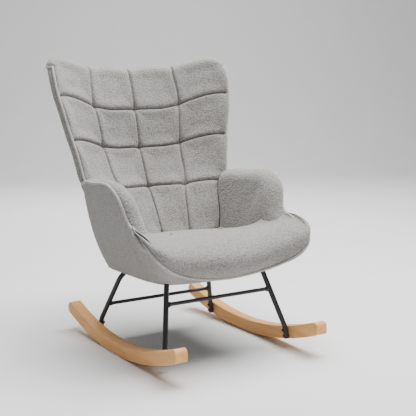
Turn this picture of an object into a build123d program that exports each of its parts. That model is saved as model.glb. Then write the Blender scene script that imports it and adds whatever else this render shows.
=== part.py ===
"""Rocking chair with a tufted wing back, built as the separate pieces it comes apart into.

Units are millimetres. +X is the sitter's left, -Y the front, +Z up. While the pieces are being
made, Y = 0 is the line on which the rockers touch the floor; before export everything moves so
that the origin is the centre of the underside of the whole chair's bounding box.
"""

from build123d import *
from math import cos, radians, tan
import os

os.makedirs("parts", exist_ok=True)

# ---------------------------------------------------------------- driving dimensions
CLEAR = 0.2  # between neighbouring hard pieces that seat on each other

ROCKER_RADIUS = 1239.0  # arc of the underside
ROCKER_HEIGHT = 43.0
ROCKER_WIDTH = 42.0
ROCKER_INNER_X = 236.0
ROCKER_FRONT_Y = -436.0
ROCKER_REAR_Y = 396.0
ROCKER_NOSE_R = 15.0  # top corner at the front end
ROCKER_TAIL_R = 22.0  # top corner at the rear end
ROCKER_HEEL_R = 7.0  # both bottom corners
ROCKER_EDGE_R = 3.0

LEG_D = 17.0
LEG_WALL = 1.5
LEG_X = ROCKER_INNER_X - LEG_D / 2 - CLEAR
KNEE_R = 45.0
BAR_D = 12.5  # crossbars
BAR_WALL = 1.2
WELD_R = 9.5  # weld fillet's radius at the leg
WELD_LEN = 11.0  # and its length along the crossbar

SEAT_TILT = 4.0  # degrees, rear down
RING_X = 190.0  # half width of the plywood seat frame
RING_FRONT_Y = -236.0
RING_REAR_Y = 200.0
RING_OPENING_X = 138.0
RING_OPENING_Y = (-184.0, 122.0)
RING_T = 18.0
RING_TOP_Z = 294.0  # at y = 0

PLATE_X, PLATE_Y, PLATE_T = 46.0, 32.0, 4.0  # mount plates on the hoops' top bars
PLATE_CENTRES_X = (-83.0, 83.0)
BOLT_OFFSET_Y = 17.0  # seat bolts behind the top bar
BOLT_PITCH = 20.0

M6_R = 3.0
HOLE_R = 3.5
HEAD_R = 5.2
HEAD_H = 3.6
HEX_R = 2.3
TEE_R = 4.0  # barrel of a tee nut
TEE_FLANGE_R = 9.5
WASHER_R = 7.0
INSERT_R = 5.0
INSERT_LEN = 14.0
SCREW_SHARES = (0.20, 0.72)  # places of the two screws along each tube's foot
TEE_LEN = 12.0
TEE_FLANGE_T = 1.2
WASHER_T = 1.4
PLUG_CAP_T = 3.0
PLUG_SPIGOT_LEN = 4.0

# Each hoop: foot (y, z of the tube's end), knee (y, z where it leaves the rocker),
# corner under the seat (x, y), and the bend radius there.
FRONT_HOOP = {
    "foot": (-284.0, 38.0),
    "knee": (-276.0, 74.0),
    "corner": (178.0, -207.0),
    "bend": 34.0,
}
REAR_HOOP = {
    "foot": (205.0, 25.0),
    "knee": (209.0, 64.0),
    "corner": (169.0, 128.0),
    "bend": 66.0,
}
HOOPS = (FRONT_HOOP, REAR_HOOP)
FRONT_BAR_Z = 201.0
REAR_BAR_Z = 124.0

WIRE_D = 3.4
SPRING_COUNT = 5
SPRING_PITCH = 21.0
SPRING_SWING = 19.0
SPRING_Z = 5.0  # wire's centre above the seat frame
SPRING_TAIL = 16.0  # straight end of the wire, held by its clip
SPRING_FRONT_Y = RING_OPENING_Y[0] - 12
SPRING_REAR_Y = RING_OPENING_Y[1] + 12
SPRING_STEP_X = 2 * RING_OPENING_X / SPRING_COUNT
SPRING_XS = [(i - (SPRING_COUNT - 1) / 2) * SPRING_STEP_X for i in range(SPRING_COUNT)]
FELT_T = 2.4
FELT_Z = 7.8  # underside above the seat frame
DUST_COVER_T = 1.0
LIP_BOARD_T = 12.0
LIP_BOARD_HEIGHT = 46.0

ROD_D = 7.0  # back and arm frames
RAIL_D = 5.5  # cross rails between the rods
FOOT_PLATE = (4.0, 26.0, 15.0)
FOOT_X = RING_X + CLEAR + FOOT_PLATE[0] + ROD_D / 2 - 1.0  # rods are let 1 mm into their plates
FOOT_SCREW_STEP = 8.5
BACK_FOOT_Y = 112.0
ARM_FOOT_YS = (-128.0, 56.0)
SCREW_R = 2.2  # wood screws through the foot plates
SCREW_LEN = 22.0

# Rows of the tufted front surface: height, y at the middle, and x, y of its edge.
BACK_ROWS = (
    (335, 140, 196, 88),
    (445, 198, 228, 120),
    (545, 256, 252, 150),
    (600, 284, 288, 178),
    (700, 322, 308, 198),
    (800, 342, 330, 219),
    (900, 374, 345, 247),
    (960, 394, 342, 278),
    (1000, 408, 330, 302),
)
# The plain rear surface below the wings, where it meets the arms and the lower shell.
COVER_FOOT_ROWS = ((446, 290, 276, 158), (545, 330, 290, 174))
WING_FROM_Z = 600
WING_NORMAL = (0.62, 0.78)  # outward and back, square to the wing at its edge
PAD_MID_T, PAD_EDGE_T = 20.0, 7.0
COVER_MID_T, COVER_EDGE_T = 5.0, 4.5
BACK_MID_T, BACK_EDGE_T = 58.0, 25.0  # whole back, front surface to rear surface
TOP_DIP = ((-345.0, 992.0), (0.0, 946.0), (345.0, 992.0))  # top edge seen from the front

# The side rod of the back frame as x, z; its y lies midway between pad and cover.
BACK_ROD_XZ = ((222, 445), (246, 545), (282, 610), (304, 700), (325, 800), (338, 900), (327, 952))
BACK_ROD_BENDS = (20, 40, 80, 60, 200, 200, 40)
RAIL_ENDS_XZ = ((246, 545), (315, 752), (331, 937))  # cross rails, the last along the top
RAIL_SETBACK = 6.0  # from a rod's centre to the rail's end, across
TOP_RAIL_DROP = 26.0  # the top rail's centre below the top edge, at the middle
WEBBING_WIDTH = 50.0
WEBBING_T = 1.5
WEBBING_XZ = ((196, 450), (258, 640), (296, 850))  # half length, middle height of each strap

ARM_LEAN = 0.28  # outward per unit of height
ARM_INNER_FACE_X = 262.0  # at ARM_REF_Z
ARM_OUTER_FACE_X = 311.0
ARM_REF_Z = 560.0
ARM_INNER_T = 21.0
ARM_OUTER_T = 11.0
# Side outline of an arm's front and top, y and z.
ARM_FRONT = ((-184, 442), (-171, 480), (-149, 520), (-134, 542), (-110, 562), (-64, 582))
ARM_TOP_REAR = (120.0, 580.0)
ARM_KNEE_Z = 357.0  # where an arm's rod starts to lean outward
ARM_ROD_TOP_Z = 566.0

CUSHION_FRONT_X = 290.0  # half width in front of the arms
CUSHION_REAR_X = 188.0  # half width between the arms
CUSHION_FRONT_Y = -345.0
CUSHION_STEP_Y = -192.0
CUSHION_CORNER_R = 75.0
CUSHION_REAR = ((-CUSHION_REAR_X, 74.0), (0.0, 126.0), (CUSHION_REAR_X, 74.0))

# Sections of the lower shell's outside: height, half width, front y, rear y, corner radius.
SHELL_ROWS = (
    (254, 206, -250, 238, 42),
    (266, 216, -262, 246, 64),
    (300, 235, -285, 262, 110),
    (371, 255, -315, 275, 140),
    (444, 279, -335, 290, 175),
)
SHELL_T = 11.0
SHELL_FRONT_RIM_Z = 272.0
SHELL_STEP_Y = -190.0


def swept(points, radii, diameter, wall=0.0):
    """Round rod, or a tube where a wall is given, along straight runs joined by tangent arcs."""
    return swept_along(FilletPolyline(*points, radius=radii), diameter, wall)


def swept_along(path, diameter, wall=0.0):
    ring = Circle(diameter / 2)
    if wall:
        ring -= Circle(diameter / 2 - wall)
    return sweep(Plane(origin=path @ 0, z_dir=path % 0) * ring, path=path)


def group(pieces):
    """Separate solids that share one node."""
    return Compound([solid for piece in pieces for solid in piece.solids()])


def with_mirror(pieces):
    pieces = list(pieces)
    return group(pieces + [mirror(piece, about=Plane.YZ) for piece in pieces])


def along_x(radius, length, start):
    """Cylinder along +X from a start point."""
    x, y, z = start
    return Pos(x + length / 2, y, z) * Rot(0, 90, 0) * Cylinder(radius, length)


# ---------------------------------------------------------------- places worked out
def seat_drop(y):
    """How much lower the seat frame lies at y than at y = 0."""
    return y * tan(radians(SEAT_TILT))


def hoop_bar_z(y):
    """Centre height of a hoop's top bar that carries the seat frame at y."""
    below_top = (RING_T + PLATE_T + 2 * CLEAR + LEG_D / 2) / cos(radians(SEAT_TILT))
    return RING_TOP_Z - seat_drop(y) - below_top


def corner_point(hoop):
    x, y = hoop["corner"]
    return (x, y, hoop_bar_z(y))


def on_foot(hoop, share):
    """Point (y, z) at a share of the way from a tube's end to its knee."""
    return tuple(a + (b - a) * share for a, b in zip(hoop["foot"], hoop["knee"]))


SCREW_SPOTS = [on_foot(hoop, share) for hoop in HOOPS for share in SCREW_SHARES]


def seat_bolt_spots():
    """x, y of every seat bolt, in the seat frame's own level plane."""
    return [
        (x + side * BOLT_PITCH / 2, (hoop["corner"][1] + BOLT_OFFSET_Y) / cos(radians(SEAT_TILT)))
        for hoop in HOOPS
        for x in PLATE_CENTRES_X
        for side in (-1, 1)
    ]


def on_seat(part):
    """From the seat frame's own level plane (its top at z = 0) to its tilted place."""
    return Pos(0, 0, RING_TOP_Z) * Rot(-SEAT_TILT, 0, 0) * part


# ---------------------------------------------------------------- rockers and their fasteners
def rocker():
    centre = Pos(0, ROCKER_RADIUS)
    band = centre * Circle(ROCKER_RADIUS) - centre * Circle(ROCKER_RADIUS - ROCKER_HEIGHT)
    length = ROCKER_REAR_Y - ROCKER_FRONT_Y
    window = Pos((ROCKER_REAR_Y + ROCKER_FRONT_Y) / 2, length / 4) * Rectangle(length, length / 2)
    side = band & window
    for end, level, radius in (
        (0, -1, ROCKER_NOSE_R),
        (-1, -1, ROCKER_TAIL_R),
        (0, 0, ROCKER_HEEL_R),
        (-1, 0, ROCKER_HEEL_R),
    ):
        corners = side.vertices().group_by(Axis.X)[end]
        side = fillet(corners.sort_by(Axis.Y)[level], radius)
    solid = extrude(Plane.YZ.offset(ROCKER_INNER_X) * side, amount=ROCKER_WIDTH)
    solid = fillet(solid.faces().filter_by(Axis.X).edges(), ROCKER_EDGE_R)
    for y, z in SCREW_SPOTS:
        solid -= along_x(INSERT_R + CLEAR / 2, INSERT_LEN + 3, (ROCKER_INNER_X, y, z))
    return solid


def rocker_inserts():
    """Threaded inserts in the rockers' inner faces."""
    return with_mirror(
        along_x(INSERT_R, INSERT_LEN, (ROCKER_INNER_X, y, z))
        - along_x(M6_R, INSERT_LEN, (ROCKER_INNER_X, y, z))
        for y, z in SCREW_SPOTS
    )


def rocker_screws():
    """Button-head screws through the leg tubes into the inserts."""
    head_x = LEG_X - LEG_D / 2 - CLEAR
    screws = []
    for y, z in SCREW_SPOTS:
        shank = along_x(M6_R - CLEAR / 2, ROCKER_INNER_X + INSERT_LEN - 2 - head_x, (head_x, y, z))
        head = along_x(HEAD_R, HEAD_H, (head_x - HEAD_H, y, z))
        head = fillet(head.edges().group_by(Axis.X)[0], HEAD_H * 0.6)
        socket = Plane.YZ.offset(head_x - HEAD_H) * Pos(y, z) * RegularPolygon(HEX_R, 6)
        screws.append(shank + head - extrude(socket, amount=HEAD_H * 0.6))
    return with_mirror(screws)


# ---------------------------------------------------------------- leg hoops and crossbars
def hoop_rod(hoop, wall=0.0):
    left = [(LEG_X, *hoop["foot"]), (LEG_X, *hoop["knee"]), corner_point(hoop)]
    right = [(-x, y, z) for x, y, z in reversed(left)]
    return swept(left + right, [KNEE_R, hoop["bend"], hoop["bend"], KNEE_R], LEG_D, wall)


def leg_hoop(hoop):
    tube = hoop_rod(hoop, LEG_WALL)
    for share in SCREW_SHARES:
        y, z = on_foot(hoop, share)
        tube -= along_x(HOLE_R, 2 * ROCKER_INNER_X, (-ROCKER_INNER_X, y, z))
    return tube


def crossbar(hoop, z):
    """Tube between the two legs of a hoop, coped round them, with a weld fillet at each end."""
    knee_y, knee_z = hoop["knee"]
    corner_x, corner_y, corner_z = corner_point(hoop)
    share = (z - knee_z) / (corner_z - knee_z)
    x = LEG_X + (corner_x - LEG_X) * share
    y = knee_y + (corner_y - knee_y) * share
    bar = along_x(BAR_D / 2, 2 * x, (-x, y, z))
    for side in (-1, 1):
        weld = Cone(WELD_R, BAR_D / 2, WELD_LEN)
        bar += Pos(side * (x - (LEG_D + WELD_LEN) / 2), y, z) * Rot(0, -90 * side, 0) * weld
    bar -= along_x(BAR_D / 2 - BAR_WALL, 2 * x, (-x, y, z))
    return (bar - hoop_rod(hoop)).solids().sort_by(SortBy.VOLUME)[-1]


def leg_end_plugs():
    """Rounded cap with a spigot in the open lower end of each tube."""
    plugs = []
    for hoop in HOOPS:
        (foot_y, foot_z), (knee_y, knee_z) = hoop["foot"], hoop["knee"]
        end = Plane(origin=(LEG_X, foot_y, foot_z), z_dir=(0, foot_y - knee_y, foot_z - knee_z))
        cap = extrude(end.offset(CLEAR) * Circle(LEG_D / 2), amount=PLUG_CAP_T)
        cap = fillet(cap.edges().sort_by(Axis.Z)[0], PLUG_CAP_T - 1)
        bore = Circle(LEG_D / 2 - LEG_WALL - CLEAR)
        plugs.append(cap + extrude(end.offset(CLEAR) * bore, amount=-PLUG_SPIGOT_LEN))
    return with_mirror(plugs)


# ---------------------------------------------------------------- seat frame and its fasteners
def seat_frame():
    """Plywood ring with holes for the tee nuts and a hole for each frame screw."""
    mid_y = (RING_FRONT_Y + RING_REAR_Y) / 2
    ring = Pos(0, mid_y) * RectangleRounded(2 * RING_X, RING_REAR_Y - RING_FRONT_Y, 45)
    front, rear = RING_OPENING_Y
    ring -= Pos(0, (front + rear) / 2) * RectangleRounded(2 * RING_OPENING_X, rear - front, 30)
    ring = extrude(ring, amount=-RING_T)
    for x, y in seat_bolt_spots():
        ring -= Pos(x, y, -RING_T / 2) * Cylinder(TEE_R + CLEAR, RING_T)
    ring = on_seat(ring)
    for y, z in frame_screw_spots():
        depth = SCREW_LEN + 2
        for start_x in (-RING_X, RING_X - depth):
            ring -= along_x(SCREW_R + CLEAR, depth, (start_x, y, z))
    return ring


def at_seat_bolts(piece):
    """One copy of a fastener at every seat bolt's place."""
    return on_seat(group([Pos(x, y) * piece for x, y in seat_bolt_spots()]))


def seat_mount_plates():
    """Plates welded on the hoops' top bars, square to the seat frame."""
    under = -RING_T - CLEAR - PLATE_T / 2
    plates = []
    for hoop in HOOPS:
        for x in PLATE_CENTRES_X:
            y = (hoop["corner"][1] + BOLT_OFFSET_Y / 2) / cos(radians(SEAT_TILT))
            plate = Pos(x, y, under) * Box(PLATE_X, PLATE_Y, PLATE_T)
            plates.append(fillet(plate.edges().filter_by(Axis.Z), 5))
    plates = group(plates)
    for x, y in seat_bolt_spots():
        plates -= Pos(x, y, under) * Cylinder(HOLE_R, 2 * PLATE_T)
    return on_seat(plates)


def seat_washers():
    washer = Cylinder(WASHER_R, WASHER_T) - Cylinder(HOLE_R, WASHER_T)
    return at_seat_bolts(Pos(0, 0, -RING_T - PLATE_T - 2 * CLEAR - WASHER_T / 2) * washer)


def seat_bolts():
    head_top = -RING_T - PLATE_T - 3 * CLEAR - WASHER_T
    head = Pos(0, 0, head_top - HEAD_H / 2) * Cylinder(HEAD_R, HEAD_H)
    head = fillet(head.edges().sort_by(Axis.Z)[0], HEAD_H * 0.5)
    head -= extrude(Pos(0, 0, head_top - HEAD_H) * RegularPolygon(HEX_R, 6), amount=HEAD_H * 0.6)
    shank_len = -head_top - 2
    shank = Cylinder(M6_R - CLEAR / 2, shank_len)
    return at_seat_bolts(head + Pos(0, 0, head_top + shank_len / 2) * shank)


def tee_nuts():
    barrel = Pos(0, 0, CLEAR - TEE_LEN / 2) * Cylinder(TEE_R, TEE_LEN)
    flange = Pos(0, 0, CLEAR + TEE_FLANGE_T / 2) * Cylinder(TEE_FLANGE_R, TEE_FLANGE_T)
    return at_seat_bolts(barrel + flange - Cylinder(M6_R, 4 * RING_T))


def dust_cover():
    """Thin cloth under the seat frame, cut out round the mount plates."""
    mid_y = (RING_FRONT_Y + RING_REAR_Y) / 2
    sheet = Pos(0, mid_y) * RectangleRounded(2 * RING_X - 12, RING_REAR_Y - RING_FRONT_Y - 12, 40)
    for hoop in HOOPS:
        for x in PLATE_CENTRES_X:
            y = (hoop["corner"][1] + BOLT_OFFSET_Y / 2) / cos(radians(SEAT_TILT))
            sheet -= Pos(x, y) * RectangleRounded(PLATE_X + 4, PLATE_Y + 4, 6)
    return on_seat(extrude(Pos(0, 0, -RING_T - CLEAR) * sheet, amount=-DUST_COVER_T))


def front_lip_board():
    """Plywood strip across the seat frame's front edge, which the cushion laps over."""
    strip = Box(2 * RING_X - 90, LIP_BOARD_T, LIP_BOARD_HEIGHT)
    strip = Pos(0, RING_FRONT_Y - CLEAR - LIP_BOARD_T / 2, -RING_T - 4) * strip
    return on_seat(fillet(strip.edges().filter_by(Axis.Y), 8))


# ---------------------------------------------------------------- springs
def seat_springs():
    """Sinuous wires from front to rear across the opening."""
    runs = round((SPRING_REAR_Y - SPRING_FRONT_Y) / SPRING_PITCH)
    pitch = (SPRING_REAR_Y - SPRING_FRONT_Y) / runs
    side = SPRING_SWING
    points = [(0, SPRING_FRONT_Y - SPRING_TAIL), (0, SPRING_FRONT_Y), (side, SPRING_FRONT_Y)]
    for i in range(1, runs):
        y = SPRING_FRONT_Y + i * pitch
        points += [(side, y), (-side, y)]
        side = -side
    points += [(side, SPRING_REAR_Y), (0, SPRING_REAR_Y), (0, SPRING_REAR_Y + SPRING_TAIL)]
    wire = swept([(x, y, SPRING_Z) for x, y in points], 8.0, WIRE_D)
    return on_seat(group([Pos(x, 0) * wire for x in SPRING_XS]))


def spring_clips():
    """Folded clips on the seat frame, round the wires' straight ends."""
    clip = Pos(0, 0, 3.8) * Box(15, 8, 7.2)
    clip = fillet(clip.edges().filter_by(Axis.Y).group_by(Axis.Z)[-1], 3)
    clip -= Pos(0, 0, SPRING_Z) * Rot(90, 0, 0) * Cylinder(WIRE_D / 2 + CLEAR / 2, 10)
    ends = (SPRING_FRONT_Y - SPRING_TAIL + 4, SPRING_REAR_Y + SPRING_TAIL - 4)
    return on_seat(group([Pos(x, y) * clip for x in SPRING_XS for y in ends]))


def spring_insulator():
    """Felt sheet over the springs, under the cushion."""
    front, rear = SPRING_FRONT_Y - 22, SPRING_REAR_Y + 22
    sheet = RectangleRounded(2 * RING_OPENING_X + 22, rear - front, 25)
    sheet = Pos(0, (front + rear) / 2, FELT_Z) * sheet
    return on_seat(extrude(sheet, amount=FELT_T))


# ---------------------------------------------------------------- back
def shifted(row, middle, edge):
    """A row moved back by `middle` at its centre and by `edge` along the wing's normal."""
    z, mid_y, edge_x, edge_y = row
    return (z, mid_y + middle, edge_x + edge * WING_NORMAL[0], edge_y + edge * WING_NORMAL[1])


def crescent(front, rear):
    """Closed horizontal section between two arcs."""
    z, front_y, front_x, front_edge_y = front
    _, rear_y, rear_x, rear_edge_y = rear
    outline = [
        ThreePointArc((-front_x, front_edge_y), (0, front_y), (front_x, front_edge_y)),
        Line((front_x, front_edge_y), (rear_x, rear_edge_y)),
        ThreePointArc((rear_x, rear_edge_y), (0, rear_y), (-rear_x, rear_edge_y)),
        Line((-rear_x, rear_edge_y), (-front_x, front_edge_y)),
    ]
    return Pos(0, 0, z) * make_face(outline)


def under_top_edge(solid):
    """Trim a back layer to the dipped top edge."""
    low, high = TOP_DIP[1][1] - 40, 1100.0
    half = 420.0
    left, middle, right = TOP_DIP
    outline = [
        ThreePointArc(left, middle, right),
        Polyline(right, (half, right[1]), (half, high), (-half, high), (-half, left[1]), left),
    ]
    above = extrude(Plane.XZ * make_face(outline), amount=-1000)
    return solid - above


def back_layer(front_rows, rear_rows):
    sections = [crescent(front, rear) for front, rear in zip(front_rows, rear_rows)]
    return under_top_edge(loft(sections, ruled=True))


def back_pad():
    """Tufted inner back with its wings: foam and its cover."""
    rows = [shifted(row, PAD_MID_T, PAD_EDGE_T) for row in BACK_ROWS]
    return back_layer(BACK_ROWS, rows)


def back_cover():
    """Plain rear panel of the back."""
    wing_rows = [row for row in BACK_ROWS if row[0] >= WING_FROM_Z]
    outer = list(COVER_FOOT_ROWS) + [shifted(row, BACK_MID_T, BACK_EDGE_T) for row in wing_rows]
    inner = [shifted(row, -COVER_MID_T, -COVER_EDGE_T) for row in outer]
    return back_layer(inner, outer)


# ---------------------------------------------------------------- back and arm frames
def gap_row(z):
    """Row midway between the pad and the cover at height z."""
    below = max(row for row in BACK_ROWS if row[0] <= z)
    above = min(row for row in BACK_ROWS if row[0] >= z)
    share = (z - below[0]) / ((above[0] - below[0]) or 1)
    row = (z, *(a + (b - a) * share for a, b in zip(below[1:], above[1:])))
    middle = (PAD_MID_T + BACK_MID_T - COVER_MID_T) / 2
    edge = (PAD_EDGE_T + BACK_EDGE_T - COVER_EDGE_T) / 2
    return shifted(row, middle, edge)


def gap_y(x, z):
    """y of the arc midway between the pad and the cover."""
    _, mid_y, edge_x, edge_y = gap_row(z)
    rise = mid_y - edge_y
    radius = (edge_x**2 + rise**2) / (2 * rise)
    return mid_y - radius + (radius**2 - x**2) ** 0.5


def side_foot_plates(ys):
    """Plates on the seat frame's side edge for rods that come down at y."""
    plates = []
    for y in ys:
        z = RING_TOP_Z - seat_drop(y) - RING_T / 2
        plate = Pos(RING_X + CLEAR + FOOT_PLATE[0] / 2, y, z) * Box(*FOOT_PLATE)
        plate = fillet(plate.edges().filter_by(Axis.X), 4)
        for step in (-FOOT_SCREW_STEP, FOOT_SCREW_STEP):
            plate -= along_x(SCREW_R + CLEAR, 20, (RING_X - 5, y + step, z))
        plates.append(plate)
    return plates


def frame_screw_spots():
    """y, z of the screws on one side edge of the seat frame."""
    spots = []
    for y in (BACK_FOOT_Y, *ARM_FOOT_YS):
        z = RING_TOP_Z - seat_drop(y) - RING_T / 2
        spots += [(y + step, z) for step in (-FOOT_SCREW_STEP, FOOT_SCREW_STEP)]
    return spots


def frame_screws():
    """Wood screws through the foot plates into the seat frame's edge."""
    face_x = RING_X + FOOT_PLATE[0] + 2 * CLEAR
    screws = []
    for y, z in frame_screw_spots():
        shank = along_x(SCREW_R, SCREW_LEN, (face_x - SCREW_LEN, y, z))
        screws.append(shank + Pos(face_x + 1.2, y, z) * Rot(0, 90, 0) * Cone(3.8, 2.2, 2.4))
    return with_mirror(screws)


def foot_rod_start(y):
    """First two points of a rod that rises from its foot plate at y."""
    z = RING_TOP_Z - seat_drop(y) - RING_T
    return [(FOOT_X, y, z), (FOOT_X, y, z + 34)]


def back_frame():
    """The two bent steel rods at the back's edges, with their foot plates."""
    bends = [(x, gap_y(x, z), z) for x, z in BACK_ROD_XZ]
    rod = swept(foot_rod_start(BACK_FOOT_Y) + bends, BACK_ROD_BENDS, ROD_D)
    for plate in side_foot_plates([BACK_FOOT_Y]):
        rod += plate
    return with_mirror([rod])


def back_rails():
    """Curved cross rails that end at the side rods they are welded to."""
    rails = []
    for rod_x, z in RAIL_ENDS_XZ:
        x = rod_x - RAIL_SETBACK
        middle_z = min(z, TOP_DIP[1][1] - TOP_RAIL_DROP)
        y = gap_y(x, z)
        arc = ThreePointArc((x, y, z), (0, gap_y(0, middle_z), middle_z), (-x, y, z))
        rails.append(swept_along(arc, RAIL_D))
    return group(rails)


def back_webbing():
    """Elastic straps from side to side, behind the pad."""
    straps = []
    for half_x, middle_z in WEBBING_XZ:
        sections = []
        for z in (middle_z - WEBBING_WIDTH / 2, middle_z + WEBBING_WIDTH / 2):
            front = (z, gap_y(0, z), half_x, gap_y(half_x, z))
            sections.append(crescent(front, shifted(front, WEBBING_T, WEBBING_T)))
        straps.append(loft(sections, ruled=True))
    return group(straps)


# ---------------------------------------------------------------- arms
def arm_layer(outline, face_x, thickness):
    """Plate that leans outward as it rises; its inner face is at face_x at the reference height."""
    run = (1 + ARM_LEAN**2) ** 0.5
    outward = (1 / run, 0, -ARM_LEAN / run)
    plane = Plane(origin=(face_x, 0, ARM_REF_Z), x_dir=(0, 1, 0), z_dir=outward)
    points = [(y, (z - ARM_REF_Z) * run) for y, z in outline]
    return extrude(plane * make_face(Polyline(*points, close=True)), amount=thickness)


def arm_inner_pad():
    low = 376.0
    outline = [(-186, low), *ARM_FRONT, ARM_TOP_REAR, (128, 545), (80, low)]
    return arm_layer(outline, ARM_INNER_FACE_X, ARM_INNER_T)


def arm_outer_pad():
    low = 447.0
    outline = [(-182, low), *ARM_FRONT[1:], ARM_TOP_REAR, (146, 560), (146, low)]
    return arm_layer(outline, ARM_OUTER_FACE_X - ARM_OUTER_T, ARM_OUTER_T)


def arm_frame():
    """Bent steel rod inside an arm, standing on two foot plates."""
    front_y, rear_y = ARM_FOOT_YS
    out_x = ARM_INNER_FACE_X + ARM_INNER_T + ROD_D / 2 + 5.5
    knee_x = out_x + (ARM_KNEE_Z - ARM_REF_Z) * ARM_LEAN
    top_x = out_x + (ARM_ROD_TOP_Z - ARM_REF_Z) * ARM_LEAN
    front = foot_rod_start(front_y) + [(knee_x, front_y, ARM_KNEE_Z), (top_x, -96, ARM_ROD_TOP_Z)]
    rear = foot_rod_start(rear_y) + [(knee_x, rear_y, ARM_KNEE_Z), (top_x, 92, ARM_ROD_TOP_Z)]
    rod = swept(front + rear[::-1], [8, 25, 30, 30, 25, 8], ROD_D)
    for plate in side_foot_plates(ARM_FOOT_YS):
        rod += plate
    return rod


# ---------------------------------------------------------------- seat cushion and lower shell
def seat_cushion():
    """Foam cushion and its cover: waterfall front that laps down before the seat frame."""
    left, middle, right = CUSHION_REAR
    plan = [
        ThreePointArc(left, middle, right),
        Polyline(right, (CUSHION_REAR_X, CUSHION_STEP_Y), (CUSHION_FRONT_X, CUSHION_STEP_Y)),
        FilletPolyline(
            (CUSHION_FRONT_X, CUSHION_STEP_Y),
            (CUSHION_FRONT_X, CUSHION_FRONT_Y),
            (-CUSHION_FRONT_X, CUSHION_FRONT_Y),
            (-CUSHION_FRONT_X, CUSHION_STEP_Y),
            radius=CUSHION_CORNER_R,
        ),
        Polyline((-CUSHION_FRONT_X, CUSHION_STEP_Y), (-CUSHION_REAR_X, CUSHION_STEP_Y), left),
    ]
    tall = extrude(make_face(plan), amount=500)
    base = RING_TOP_Z + 11.5
    back_y = RING_FRONT_Y - LIP_BOARD_T - 4
    rear_low = (200, base - seat_drop(200))
    side = [
        Polyline(rear_low, (back_y, base - seat_drop(back_y)), (back_y, 274), (-288, 272)),
        ThreePointArc((-288, 272), (-342, 322), (-292, 390)),
        ThreePointArc((-292, 390), (-150, 411), (200, 360)),
        Line((200, 360), rear_low),
    ]
    profile = extrude(Plane.YZ * make_face(side), amount=CUSHION_FRONT_X + 10, both=True)
    return tall & profile


def shell_loft(inset):
    sections = []
    for z, half_x, front_y, rear_y, radius in SHELL_ROWS:
        width, depth = 2 * (half_x - inset), rear_y - front_y - 2 * inset
        section = RectangleRounded(width, depth, radius - inset)
        sections.append(Pos(0, (front_y + rear_y) / 2, z) * section)
    return loft(sections, ruled=True)


def lower_shell():
    """Padded skirt round the seat frame, open above and below, cut low at the front."""
    skirt = shell_loft(0) - shell_loft(SHELL_T)
    front = Pos(0, SHELL_STEP_Y - 200, SHELL_FRONT_RIM_Z + 200) * Box(900, 400, 400)
    return skirt - front


# ---------------------------------------------------------------- the chair
def build():
    rocker_left = rocker()
    arm_parts = {
        "arm_inner_pad": arm_inner_pad(),
        "arm_outer_pad": arm_outer_pad(),
        "arm_frame": arm_frame(),
    }
    nodes = {
        "rocker_left": rocker_left,
        "rocker_right": mirror(rocker_left, about=Plane.YZ),
        "rocker_inserts": rocker_inserts(),
        "rocker_screws": rocker_screws(),
        "front_leg_hoop": leg_hoop(FRONT_HOOP),
        "rear_leg_hoop": leg_hoop(REAR_HOOP),
        "front_crossbar": crossbar(FRONT_HOOP, FRONT_BAR_Z),
        "rear_crossbar": crossbar(REAR_HOOP, REAR_BAR_Z),
        "leg_end_plugs": leg_end_plugs(),
        "seat_mount_plates": seat_mount_plates(),
        "seat_bolts": seat_bolts(),
        "seat_washers": seat_washers(),
        "tee_nuts": tee_nuts(),
        "seat_frame": seat_frame(),
        "front_lip_board": front_lip_board(),
        "dust_cover": dust_cover(),
        "seat_springs": seat_springs(),
        "spring_clips": spring_clips(),
        "spring_insulator": spring_insulator(),
        "back_frame": back_frame(),
        "back_rails": back_rails(),
        "back_webbing": back_webbing(),
        "frame_screws": frame_screws(),
        "seat_cushion": seat_cushion(),
        "back_pad": back_pad(),
        "back_cover": back_cover(),
        "lower_shell": lower_shell(),
    }
    for name, piece in arm_parts.items():
        nodes[name + "_left"] = piece
        nodes[name + "_right"] = mirror(piece, about=Plane.YZ)
    return nodes


NODES = build()
BOX = group(NODES.values()).bounding_box()
TO_ORIGIN = Pos(0, -(BOX.min.Y + BOX.max.Y) / 2, -BOX.min.Z)
print("size", [round(v, 1) for v in BOX.size], "move", [round(v, 2) for v in TO_ORIGIN.position])
for name, part in NODES.items():
    export_step(Compound([TO_ORIGIN * solid for solid in part.solids()]), f"parts/{name}.step")
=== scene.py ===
"""Looks of the rocking chair: tufted boucle upholstery, piping, materials, light and camera."""

from math import cos, radians, sin

import bpy
import numpy as np
from mathutils import Matrix, Vector, noise


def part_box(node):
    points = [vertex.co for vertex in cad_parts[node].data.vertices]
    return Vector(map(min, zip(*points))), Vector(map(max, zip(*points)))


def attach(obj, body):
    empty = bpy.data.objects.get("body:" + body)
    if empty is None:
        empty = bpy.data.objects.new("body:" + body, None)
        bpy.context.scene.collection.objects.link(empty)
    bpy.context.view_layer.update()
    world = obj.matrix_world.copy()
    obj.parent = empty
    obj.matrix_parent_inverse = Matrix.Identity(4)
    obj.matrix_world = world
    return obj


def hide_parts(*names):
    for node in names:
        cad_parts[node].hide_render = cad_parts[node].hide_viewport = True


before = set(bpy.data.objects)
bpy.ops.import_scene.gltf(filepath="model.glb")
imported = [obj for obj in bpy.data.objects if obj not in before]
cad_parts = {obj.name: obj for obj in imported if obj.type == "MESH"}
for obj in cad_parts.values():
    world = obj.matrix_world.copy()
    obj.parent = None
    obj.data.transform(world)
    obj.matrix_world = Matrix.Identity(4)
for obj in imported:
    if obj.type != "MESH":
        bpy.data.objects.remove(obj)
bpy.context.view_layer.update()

# ---------------------------------------------------------------- driving dimensions (metres)
# Shapes are written with y = 0 at the line on which the rockers touch the floor, as they are
# measured on the chair, and move to the shared frame with everything else.
ROCKER_FRONT_Y = -0.436
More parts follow.
